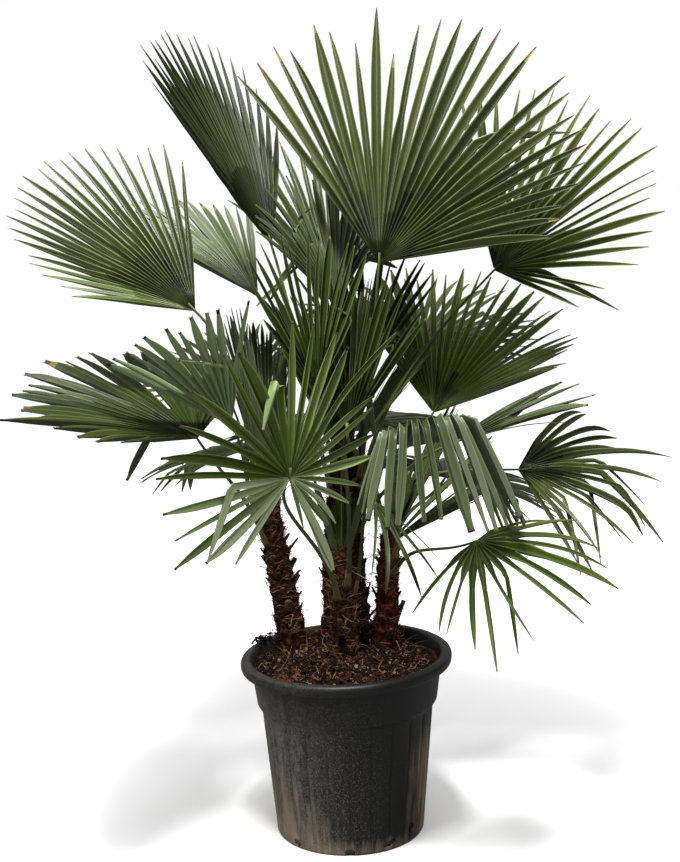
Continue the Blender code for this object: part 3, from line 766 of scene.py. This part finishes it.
def pot_material():
    """Black matte plastic with streaked dust low at its sides, splashes, and a haze on its left."""
    made = new_material("pot_plastic", POT_BLACK, 0.5)
    shader_of(made).inputs["Specular IOR Level"].default_value = 0.24
    place = position(made)
    axes = add_node(made, "ShaderNodeSeparateXYZ")
    link(made, place, axes.inputs["Vector"])

    def area(x_span, z_span):
        along = remap(made, axes.outputs["X"], *x_span)
        return combine(made, "MULTIPLY", along, remap(made, axes.outputs["Z"], *z_span))

    runs = remap(made, noise(made, position(made, (1, 1, 0.08)), 55.0, 6.0, 0.7), 0.36, 0.62, 0.3, 1.0)
    blots = remap(made, noise(made, place, 70.0, 9.0, 0.8), 0.38, 0.62, 0.2, 1.0)
    dusty = combine(made, "MAXIMUM", *(area(*spans) for spans in DUSTY))
    dust = remap(made, combine(made, "MULTIPLY", dusty, runs), 0.14, 0.8)
    side = remap(made, axes.outputs["X"], *HAZY_X)
    haze = combine(made, "MULTIPLY", side, area(HAZY_X, HAZY_Z), runs, blots)
    speck = noise(made, place, 300.0, 4.0, 0.75)
    splash = combine(made, "MULTIPLY", remap(made, speck, 0.53, 0.66, 0.0, 0.8), area(*SPLASHED))
    colour = blend(made, haze, POT_BLACK, HAZE)
    colour = blend(made, splash, blend(made, dust, colour, DUST), SPLASH)
    link(made, colour, shader_of(made).inputs["Base Color"])
    link(made, remap(made, dust, 0.0, 1.0, 0.45, 0.9), shader_of(made).inputs["Roughness"])
    add_bump(made, speck, 0.25, 0.0006)
    return made


# Drainage slots at the foot, each (turn in degrees, height, half width, half height, slant).
SLOTS = ((-91, 0.008, 0.06, 0.007, 0.0), (-60, 0.018, 0.09, 0.005, 0.25),
         (-38, 0.036, 0.05, 0.011, 0.0), (-135, 0.012, 0.06, 0.006, -0.15),
         (35, 0.016, 0.07, 0.006, 0.15), (90, 0.012, 0.06, 0.007, 0.0),
         (145, 0.018, 0.07, 0.006, -0.15))
# Faces inside the slots are near black: painted shade for the dark inside the holes.
SLOT_SHADOW = (0.002, 0.0018, 0.0016)
SLOT_DEPTH = 0.006

# Narrow grooves run down the body between these heights, with shallow hollow flutes between them.
GROOVES = 24
GROOVE_WIDTH = 0.14
GROOVE_DEPTH = 0.003
FLUTE_DEPTH = 0.001
GROOVES_FROM = 0.02
GROOVES_TO = 0.312

# Enough columns to round the grooves.
POT_COLUMNS = 576


def in_slot(turn, height):
    inside = False
    for spot, level, wide, tall, slant in SLOTS:
        beside = turned_from(turn, np.radians(spot))
        above = height - level - slant * beside * FOOT_RADIUS
        inside = inside | ((beside / wide) ** 2 + (above / tall) ** 2 < 1)
    return inside


def add_pot():
    inner_top = collar_radius(RIM_LIP) - POT_WALL
    profile = [
        (0.0, POT_FLOOR), (body_radius(POT_FLOOR) - POT_WALL, POT_FLOOR),
        (body_radius(COLLAR_FOOT) - POT_WALL, COLLAR_FOOT + POT_WALL), (inner_top, RIM_LIP),
        (inner_top + 0.003, RIM_TOP - 0.006), (0.227, 0.428), (0.2305, 0.4296), (0.235, 0.43),
        (0.24, 0.4299), (0.244, 0.4288), (0.2472, 0.4264), (0.2492, 0.4228), (0.25, 0.418),
        (0.2496, 0.412), (0.2482, 0.4072), (0.2466, 0.4048), (0.2444, 0.404), (0.2424, 0.4046),
        (0.239, 0.407), (0.229, 0.406), (collar_radius(RIM_LIP) + 0.001, 0.403),
    ]
    profile += [(collar_radius(z), z) for z in np.linspace(RIM_LIP - 0.004, COLLAR_FOOT + 0.005, 16)]
    above_body = len(profile)
    profile += [(0.2127, 0.3195), (0.2112, 0.317), (0.2085, 0.3155), (0.206, 0.314)]
    profile += [(body_radius(z), z) for z in np.linspace(COLLAR_FOOT - 0.006, 0.004, 78)]
    profile += [(FOOT_RADIUS - 0.001, 0.0015), (FOOT_RADIUS - 0.004, 0.0), (0.0, 0.0)]
    # The body is turned from its underside up, so its rows come first.
    body_rows = len(profile) - above_body

    def shape(points):
        radius = np.hypot(points[..., 0], points[..., 1])
        turn = np.arctan2(points[..., 1], points[..., 0])
        height = points[..., 2]
        outer = (np.arange(len(profile)) < body_rows)[:, None] & (radius > FOOT_RADIUS - 0.006)
        foot, top = (height - GROOVES_FROM) / 0.015, (GROOVES_TO - height) / 0.012
        wave = np.sin(turn * GROOVES / 2)
        grooves = np.exp(-(wave / GROOVE_WIDTH) ** 2) * GROOVE_DEPTH + (1 - np.abs(wave)) * FLUTE_DEPTH
        shrink = np.where(outer, np.clip(foot, 0, 1) * np.clip(top, 0, 1) * grooves, 0.0)
        shrink = np.where(outer & in_slot(turn, height), SLOT_DEPTH, shrink)
        points[..., :2] *= (1 - shrink / np.maximum(radius, 0.01))[..., None]
        points[..., 2] += points[..., 0] * np.tan(RIM_DIP) * (height / RIM_TOP) ** DIP_POWER
        return points

    looks = [pot_material(), new_material("pot_slot_shadow", SLOT_SHADOW, 0.9)]
    piece = lathe("nursery_pot", profile[::-1], POT_COLUMNS, looks, shape)
    # The faces in the slots take that painted shade.
    for face in piece.data.polygons:
        x, y, z = face.center
        if face.index < body_rows * POT_COLUMNS and in_slot(np.arctan2(y, x), z):
            face.material_index = 1
    keep(piece, "pot", "pot")


def soil_height(points):
    """Height of the bark's surface over its solid top: a rough, slightly mounded bed."""
    rng = np.random.default_rng(SOIL_SEED)
    spread = np.hypot(points[..., 0], points[..., 1])
    mound = 0.007 * np.exp(-(spread / 0.12) ** 2)
    return mound + 0.0035 * ripple(points, 0.07, rng) + 0.0018 * ripple(points, 0.018, rng)


def soil_spots(rng, count, radius, low, high):
    """Points strewn over the bed within a radius, from low to high over its surface."""
    turn, spread = rng.uniform(0, 2 * np.pi, count), radius * np.sqrt(rng.uniform(0, 1, count))
    spots = compass(turn) * spread[:, None] - DOWN * SOIL_TOP
    spots[:, 2] += soil_height(spots) + rng.uniform(low, high, count)
    return spots


SOIL_STOPS = ((0.3, (0.002, 0.0008, 0.0006)), (0.48, (0.009, 0.0036, 0.002)),
              (0.62, (0.03, 0.011, 0.006)), (0.78, (0.08, 0.036, 0.02)))


def add_soil():
    clear = POT_WALL + SOIL_CLEARANCE
    wall = collar_radius(SOIL_TOP) - clear
    profile = [(0.0, POT_FLOOR), (body_radius(POT_FLOOR) - clear, POT_FLOOR),
               (body_radius(COLLAR_FOOT) - clear, COLLAR_FOOT), (wall, SOIL_TOP - 0.006)]
    top = len(profile)
    profile += [(radius, SOIL_TOP) for radius in np.linspace(wall, 0.0, 90)]

    def shape(points):
        points[top:, :, 2] += soil_height(points[top:])
        return points

    look = patterned_material("soil_bark", SOIL_STOPS, 0.95, 60.0, 0.004)
    piece = lathe("soil_bed", profile, 300, [look], shape)
    keep(piece, "soil", "soil")


# The shades of the chips and how many are in each, and the reddest ones, which lie in one patch.
CHIP_SHADES = {"dark": (0.003, 0.0013, 0.001), "brown": (0.013, 0.005, 0.003),
               "reddish": (0.038, 0.013, 0.006), "rust": (0.15, 0.045, 0.018),
               "tan": (0.17, 0.11, 0.07)}
CHIP_SHARES = (0.34, 0.33, 0.22, 0.03, 0.08)
RUST = 3
RUST_PATCH = (-0.145, -0.105, 0.035)
CHIP_COUNT = 5200
CHIP_SPREAD = 0.212
CHIP_LENGTH = 0.0065

# Some chips have spilled onto the rim: how many, between which turns, and how far out.
SPILT_CHIPS = 130
SPILT_TURNS = (138, 160)
SPILT_OUT = (0.222, 0.244)


def chip_materials():
    made = []
    for name, colour in CHIP_SHADES.items():
        look = new_material("chip_" + name, colour, 0.9)
        grain = add_node(look, "ShaderNodeTexNoise", Scale=300.0, Detail=4.0)
        add_bump(look, grain.outputs["Fac"], 0.6, 0.001)
        made.append(look)
    return made


def add_chips():
    """Bark chips and crumbs that lie on the soil, dealt out in five browns."""
    rng = np.random.default_rng(CHIP_SEED)
    count = CHIP_COUNT
    spots = soil_spots(rng, count, CHIP_SPREAD, 0.0, 0.006)
    spilt = np.arange(count) < SPILT_CHIPS
    heap = compass(np.radians(rng.uniform(*SPILT_TURNS, count))) * rng.uniform(*SPILT_OUT, count)[:, None]
    heap[:, 2] = RIM_TOP - 0.004 + rng.uniform(0, 0.014, count)
    spots = np.where(spilt[:, None], heap, spots)
    length = np.clip(rng.lognormal(np.log(CHIP_LENGTH), 0.45, count), 0.002, 0.022)
    width, height = length * rng.uniform(0.3, 0.7, count), length * rng.uniform(0.12, 0.4, count)
    size = np.stack((length, width, height), axis=-1)
    heading = rng.uniform(0, 2 * np.pi, count)
    lean = rng.normal(0, 0.45, (count, 2))
    long = unit(compass(heading, lean[:, 0]))
    flat = unit(np.cross(np.stack((-lean[:, 1] * 0.5, lean[:, 1], np.ones(count)), axis=-1), long))
    thick = np.cross(long, flat)
    corners = np.array([(x, y, z) for z in (-1, 1) for x, y in ((-1, -1), (1, -1), (1, 1), (-1, 1))], float)
    corners = corners[None] * rng.uniform(0.55, 1.0, (count, 8, 3)) * size[:, None] / 2
    points = (spots[:, None] + corners[..., :1] * long[:, None] + corners[..., 1:2] * flat[:, None]
              + corners[..., 2:] * thick[:, None])
    box = np.array(((3, 2, 1, 0), (4, 5, 6, 7), (0, 1, 5, 4), (1, 2, 6, 5), (2, 3, 7, 6), (3, 0, 4, 7)))
    faces = (box[None] + np.arange(count)[:, None, None] * 8).reshape(-1, 4)
    shades = np.where(spilt, 0, rng.choice(len(CHIP_SHARES), count, p=CHIP_SHARES))
    x, y, reach = RUST_PATCH
    rusty = (np.hypot(spots[:, 0] - x, spots[:, 1] - y) < reach) & (rng.random(count) < 0.5)
    shades = np.repeat(np.where(rusty, RUST, shades), len(box))
    piece = add_mesh("bark_chips", points, faces, chip_materials(), shades)
    for face in piece.data.polygons:
        face.use_smooth = False
    keep(piece, "soil")


# How far a stem's fibre reaches up round the young leaves, and how much it narrows there.
SHEATH_RISE = 0.065
SHEATH_NARROWS = 0.45
# Old leaf bases and stubs follow each other at this turn. The bases are this far apart upwards, and
# each reaches this many radians to either side.
LEAF_TURN = np.radians(137.5)
BASE_SPACING = 0.016
BASE_HALF = 1.15


def stem_surface(stem, turn, height):
    """Points on a stem's shaggy surface, wrapped in old leaf bases, and the directions out of it."""
    rng = np.random.default_rng(STEM_SEED + STEMS.index(stem))
    centre, radius = stem_at(stem, height)
    low, high = stem.axis[0][2], stem.axis[-1][2] + SHEATH_RISE
    radius = radius * (1 - SHEATH_NARROWS * np.clip((height - high) / SHEATH_RISE + 1, 0, 1))
    relief = np.zeros(np.broadcast(turn, height).shape)
    for index in range(int((high - low) / BASE_SPACING) + 4):
        foot = low - 0.05 + index * BASE_SPACING
        beside = turned_from(turn, index * LEAF_TURN + rng.normal(0, 0.1))
        rise = (height - foot) / rng.uniform(0.055, 0.08)
        wide = 1 - (beside / BASE_HALF) ** 2
        base = np.where((rise > 0) & (rise < 1) & (wide > 0), rise ** 1.3 * np.maximum(wide, 0) ** 0.6, 0)
        relief = np.maximum(relief, base * rng.uniform(0.7, 1.15))
    outward = compass(turn)
    points = centre + outward * radius[..., None]
    relief = 0.2 * radius * (relief - 0.5) + 0.0015 * ripple(points, 0.035, rng)
    weave = np.sin(turn * 34 + height * 260 + 2 * ripple(points, 0.02, rng))
    weave *= np.sin(turn * 34 - height * 260 + 2 * ripple(points, 0.03, rng))
    return points + outward * (relief + 0.0008 * weave)[..., None], outward


BARK_STOPS = ((0.28, (0.003, 0.0015, 0.001)), (0.46, (0.014, 0.006, 0.003)),
              (0.6, (0.048, 0.022, 0.011)), (0.78, (0.13, 0.07, 0.036)))
# How each stem's bark differs from that in red, green and blue.
# The main stem's dark tint is painted shade, for the shade it stands in behind the other stems.
BARK_TINTS = {"trunk_main": (0.6, 0.5, 0.5), "trunk_left": (1.0, 0.8, 0.7),
              "trunk_front": (1.4, 1.1, 0.7), "trunk_right": (1.7, 0.85, 0.6)}
BARK_COLUMNS = 144
BARK_ROW = 0.0026

# How many fibres each stem and the soil have, and how they are shared out among their shades.
FIBRE_SHADES = ((0.006, 0.003, 0.002), (0.034, 0.016, 0.009), (0.11, 0.042, 0.02),
                (0.19, 0.09, 0.032), (0.27, 0.19, 0.12))
# The main stem's fibres lean to the darker shades: painted shade, like its bark.
FIBRES = {"trunk_main": (1600, (0.48, 0.3, 0.08, 0.06, 0.08)),
          "trunk_left": (1350, (0.26, 0.34, 0.15, 0.1, 0.15)),
          "trunk_front": (1000, (0.15, 0.26, 0.15, 0.26, 0.18)),
          "trunk_right": (850, (0.18, 0.28, 0.38, 0.08, 0.08)),
          "soil": (600, (0.1, 0.3, 0.18, 0.14, 0.28))}
LOOSE_FIBRES = 0.2
FIBRE_RADIUS = 0.0007
FIBRE_CURL = 0.2

# The places of a fibre's or a stub's points along it.
T = np.linspace(0, 1, 5)[None, :, None]


def add_trunk(stem):
    stops = [(spot, tuple(np.multiply(colour, BARK_TINTS[stem.name]))) for spot, colour in BARK_STOPS]
    look = patterned_material(stem.name + "_fibre", stops, 0.92, 90.0, 0.003, (1, 1, 0.6))
    low, high = stem.axis[0][2] - 0.004, stem.axis[-1][2] + SHEATH_RISE
    rows, turns = int((high - low) / BARK_ROW), np.arange(BARK_COLUMNS) * 2 * np.pi / BARK_COLUMNS
    points, _ = stem_surface(stem, *np.meshgrid(turns, np.linspace(low, high, rows)))
    foot, top = (np.broadcast_to(row.mean(0), (1, *row.shape)) for row in (points[0], points[-1]))
    points = np.concatenate((foot, points, top))
    faces = grid_faces(1, rows + 2, BARK_COLUMNS, closed=True)
    keep(add_mesh(stem.name + "_bark", points, faces, [look]), "trunk", stem.name)


def fibre_roots(rng):
    """Where the fibres start, which way is off the surface there, how they lie, and their shades."""
    roots, outs, lies, shades = [], [], [], []
    for name, (amount, shares) in FIBRES.items():
        if name == "soil":
            points = soil_spots(rng, amount, 0.2, 0.001, 0.008)
            outward = np.broadcast_to(-DOWN, points.shape)
            lie = rng.normal(size=points.shape) * (1.0, 1.0, 0.1)
        else:
            stem = STEM_NAMED[name]
            turn = rng.uniform(0, 2 * np.pi, amount)
            height = rng.uniform(stem.axis[0][2], stem.axis[-1][2] + SHEATH_RISE, amount)
            points, outward = stem_surface(stem, turn, height)
            points = points - outward * 0.002
            slope = rng.choice((-1, 1), amount) * rng.uniform(0.3, 2.2, amount)
            lie = np.cross(-DOWN, outward) * slope[:, None] - DOWN * rng.normal(0.6, 0.7, amount)[:, None]
        roots.append(points)
        outs.append(outward)
        lies.append(unit(lie))
        shades.append(rng.choice(len(FIBRE_SHADES), amount, p=shares))
    return [np.concatenate(parts) for parts in (roots, outs, lies, shades)]


def add_fibres():
    """Matted fibres that criss-cross the stems and the soil, and looser curly ones that stand off."""
    rng = np.random.default_rng(FIBRE_SEED)
    roots, outs, lies, shades = fibre_roots(rng)
    count = len(roots)
    loose = rng.random(count) < LOOSE_FIBRES
    length = np.where(loose, rng.uniform(0.018, 0.06, count), rng.uniform(0.012, 0.04, count))
    lift = np.where(loose, rng.gamma(3.0, 0.28, count), rng.gamma(1.2, 0.12, count))
    length, lift = length[:, None, None], lift[:, None, None]
    paths = roots[:, None] + lies[:, None] * T * length + outs[:, None] * (T * lift - 0.35 * T ** 2) * length
    curl = unit(rng.normal(size=(count, 1, 3))) * np.sin(T * rng.uniform(2, 8, count)[:, None, None])
    paths = paths + curl * length * FIBRE_CURL
    radius = FIBRE_RADIUS * (1 - 0.6 * T[..., 0]) * rng.uniform(0.6, 1.5, count)[:, None]
    across = np.broadcast_to(unit(rng.normal(size=(count, 1, 3))), paths.shape)
    points, faces = tubes(paths, radius, radius, across, 3)
    looks = [new_material(f"fibre_{index}", colour, 0.8) for index, colour in enumerate(FIBRE_SHADES)]
    keep(add_mesh("stem_fibres", points, faces, looks, np.repeat(shades, len(faces) // count)), "trunk")


STUB_SHADES = ((0.01, 0.005, 0.003), (0.036, 0.018, 0.01), (0.085, 0.045, 0.022),
               (0.17, 0.115, 0.065))
STUB_SHARES = (0.35, 0.35, 0.22, 0.08)
STUB_SPACING = 0.0085


def add_stubs():
    """Cut stubs of old leaf stalks that stand out from the stems in a rising spiral."""
    rng = np.random.default_rng(STUB_SEED)
    roots, outs = [], []
    for stem in STEMS:
        low, high = stem.axis[0][2] + 0.015, stem.axis[-1][2] - 0.03
        amount = int((high - low) / STUB_SPACING)
        turn = LEAF_TURN * np.arange(amount) + rng.normal(0, 0.3, amount)
        height = low + (high - low) * (np.arange(amount) + 0.5) / amount
        points, outward = stem_surface(stem, turn, height)
        roots.append(points - outward * 0.004)
        outs.append(outward)
    roots, outs = np.concatenate(roots), np.concatenate(outs)
    count = len(roots)
    length = rng.gamma(6.0, 0.0036, count)[:, None, None]
    along = unit(outs * rng.uniform(0.1, 0.6, count)[:, None] - DOWN + rng.normal(0, 0.12, (count, 3)))
    paths = roots[:, None] + along[:, None] * T * length + outs[:, None] * 0.15 * T ** 2 * length
    size = rng.uniform(0.6, 1.3, count)[:, None]
    across = np.broadcast_to(np.cross(-DOWN, outs)[:, None], paths.shape)
    wide, deep = (0.01 - 0.0035 * T[..., 0]) * size, (0.0034 - 0.001 * T[..., 0]) * size
    points, faces = tubes(paths, wide, deep, across, 6)
    looks = [new_material(f"stub_{index}", colour, 0.85) for index, colour in enumerate(STUB_SHADES)]
    shades = np.repeat(rng.choice(len(STUB_SHADES), count, p=STUB_SHARES), len(faces) // count)
    keep(add_mesh("stalk_stubs", points, faces, looks, shades), "trunk")


# The young leaves in the middle of each crown: the stem's name, and for each of its closed or
# opening bundles the length, the lean towards +X and +Y, and half its spread in degrees.
SPEARS = {
    "main": ((0.44, -0.035, 0.01, 6), (0.46, 0.07, -0.03, 10), (0.42, -0.09, -0.04, 11),
             (0.36, 0.015, -0.08, 13), (0.45, 0.11, 0.06, 11), (0.38, -0.05, 0.11, 12),
             (0.44, 0.15, -0.01, 10), (0.34, -0.14, 0.03, 12), (0.38, 0.23, 0.03, 14),
             (0.34, 0.19, 0.08, 14)),
    "left": ((0.3, 0.015, 0.01, 6), (0.42, -0.045, -0.05, 10), (0.38, 0.055, -0.02, 12),
             (0.34, 0.0, 0.08, 12), (0.32, -0.1, -0.01, 12), (0.48, -0.07, 0.06, 10),
             (0.44, -0.01, 0.09, 11)),
    "front": ((0.24, 0.004, 0.0, 7), (0.26, -0.06, -0.02, 12), (0.28, 0.07, -0.02, 12),
              (0.22, 0.01, 0.06, 12)),
    "right": ((0.2, 0.02, 0.01, 7), (0.24, -0.06, -0.02, 10), (0.2, 0.06, 0.03, 12),
              (0.36, 0.25, -0.02, 13), (0.38, 0.17, 0.06, 12), (0.32, 0.27, 0.11, 14)),
}
# The spears' dark greens and low tone are painted shade for the dark in the heart of each crown.
SPEAR_LOOK = Look(DEEP, 1.5, 0.55, 0.14, 1.8, 0.7, 3.0, 0.8, tone=0.7, sheen=0.12)
SPEAR_GREENS = {"main": (BRIGHT, DEEP, OLIVE), "left": (BLUISH, PALE, BLUISH),
                "front": (BRIGHT, DEEP, OLIVE), "right": (BRIGHT, DEEP, OLIVE)}


def add_spears():
    for place, (name, bundles) in enumerate(SPEARS.items()):
        stem = STEM_NAMED["trunk_" + name]
        centre, _ = stem_at(stem, stem.axis[-1][2] - 0.01)
        for index, (length, east, north, spread) in enumerate(bundles):
            azimuth = np.degrees(np.arctan2(north, east))
            elevation = np.degrees(np.arccos(np.hypot(east, north) / length))
            frond = Frond(f"spear_{name}_{index}", stem.name, 0.0, tuple(centre), azimuth, elevation, 0,
                          length, (spread, spread), (0, 0), (0.3, 0.3), 0.0)
            nodes = () if index else ("heart_" + name,)
            look = SPEAR_LOOK._replace(greens=SPEAR_GREENS[name][index % 3])
            add_blade(frond, look, SPEAR_SEED + place * 10 + index, frond.name, "spear", *nodes)


def put(thing, spot, right, up, back):
    """Puts a camera or a lamp at the spot, with its own axes along those directions."""
    turn = Matrix(np.stack((right, up, back), axis=1).tolist()).to_4x4()
    thing.matrix_world = Matrix.Translation(spot) @ turn
    bpy.context.scene.collection.objects.link(thing)


def add_camera():
    forward = np.array((0.0, np.cos(CAMERA_PITCH), -np.sin(CAMERA_PITCH)))
    level = np.array((1.0, 0.0, 0.0))
    above = np.cross(level, forward)
    right = level * np.cos(CAMERA_ROLL) - above * np.sin(CAMERA_ROLL)
    up = level * np.sin(CAMERA_ROLL) + above * np.cos(CAMERA_ROLL)
    data = bpy.data.cameras.new("Camera")
    data.lens = CAMERA_LENS
    data.sensor_width = 36.0
    camera = bpy.data.objects.new("Camera", data)
    put(camera, CAMERA_SPOT, right, up, -forward)
    bpy.context.scene.camera = camera


def add_light(name, size, power, spot, aim):
    data = bpy.data.lights.new(name, "AREA")
    data.shape = "DISK"
    data.size = size
    data.energy = power
    away = np.array(spot, float) - np.array(aim, float)
    side = unit(np.cross((0.0, 1.0, 0.001), away))
    put(bpy.data.objects.new(name, data), spot, side, unit(np.cross(away, side)), unit(away))


def show(owner, lit, shown, output):
    """Ends the nodes of a material or world: the camera sees one shader, and the other gives light."""
    ray = add_node(owner, "ShaderNodeLightPath")
    mixed = add_node(owner, "ShaderNodeMixShader")
    for index, source in enumerate((ray.outputs["Is Camera Ray"], lit.outputs[0], shown.outputs[0])):
        link(owner, source, mixed.inputs[index])
    link(owner, mixed.outputs["Shader"], owner.node_tree.nodes[output].inputs["Surface"])


def add_studio():
    """A white room lit from above: its ceiling is bright, its walls are dim, and it shows white."""
    world = bpy.data.worlds.new("Studio")
    world.use_nodes = True
    ceiling = world.node_tree.nodes["Background"]
    ceiling.inputs["Color"].default_value = WHITE
    place = add_node(world, "ShaderNodeTexCoord")
    axes = add_node(world, "ShaderNodeSeparateXYZ")
    link(world, place.outputs["Generated"], axes.inputs["Vector"])
    glow = remap(world, axes.outputs["Z"], 0.0, 1.0, SKY_LOW, SKY_HIGH)
    link(world, glow, ceiling.inputs["Strength"])
    show(world, ceiling, add_node(world, "ShaderNodeBackground", Color=WHITE, Strength=1.0), "World Output")
    bpy.context.scene.world = world
    add_light("Overhead", LAMP_SIZE, LAMP_POWER, LAMP_SPOT, LAMP_AIM)
    corners = FLOOR_SIZE * np.array(((-1, -1, 0), (1, -1, 0), (1, 1, 0), (-1, 1, 0)), float)
    paint = new_material("floor", (FLOOR_BOUNCE,) * 3, 0.9)
    white = add_node(paint, "ShaderNodeBsdfDiffuse", Color=FLOOR_WHITE)
    show(paint, shader_of(paint), white, "Material Output")
    add_mesh("floor", corners, [(0, 1, 2, 3)], [paint])
    bpy.context.scene.view_settings.view_transform = "Standard"


def main():
    add_pot()
    add_soil()
    add_chips()
    for stem in STEMS:
        add_trunk(stem)
    add_stubs()
    add_fibres()
    add_stalks()
    for index, frond in enumerate(FRONDS):
        name = frond.name
        add_blade(frond, LOOKS[name], LEAF_SEED + index, "leaf_" + name, "leaf", "blade_" + name)
    add_spears()
    add_camera()
    add_studio()


main()
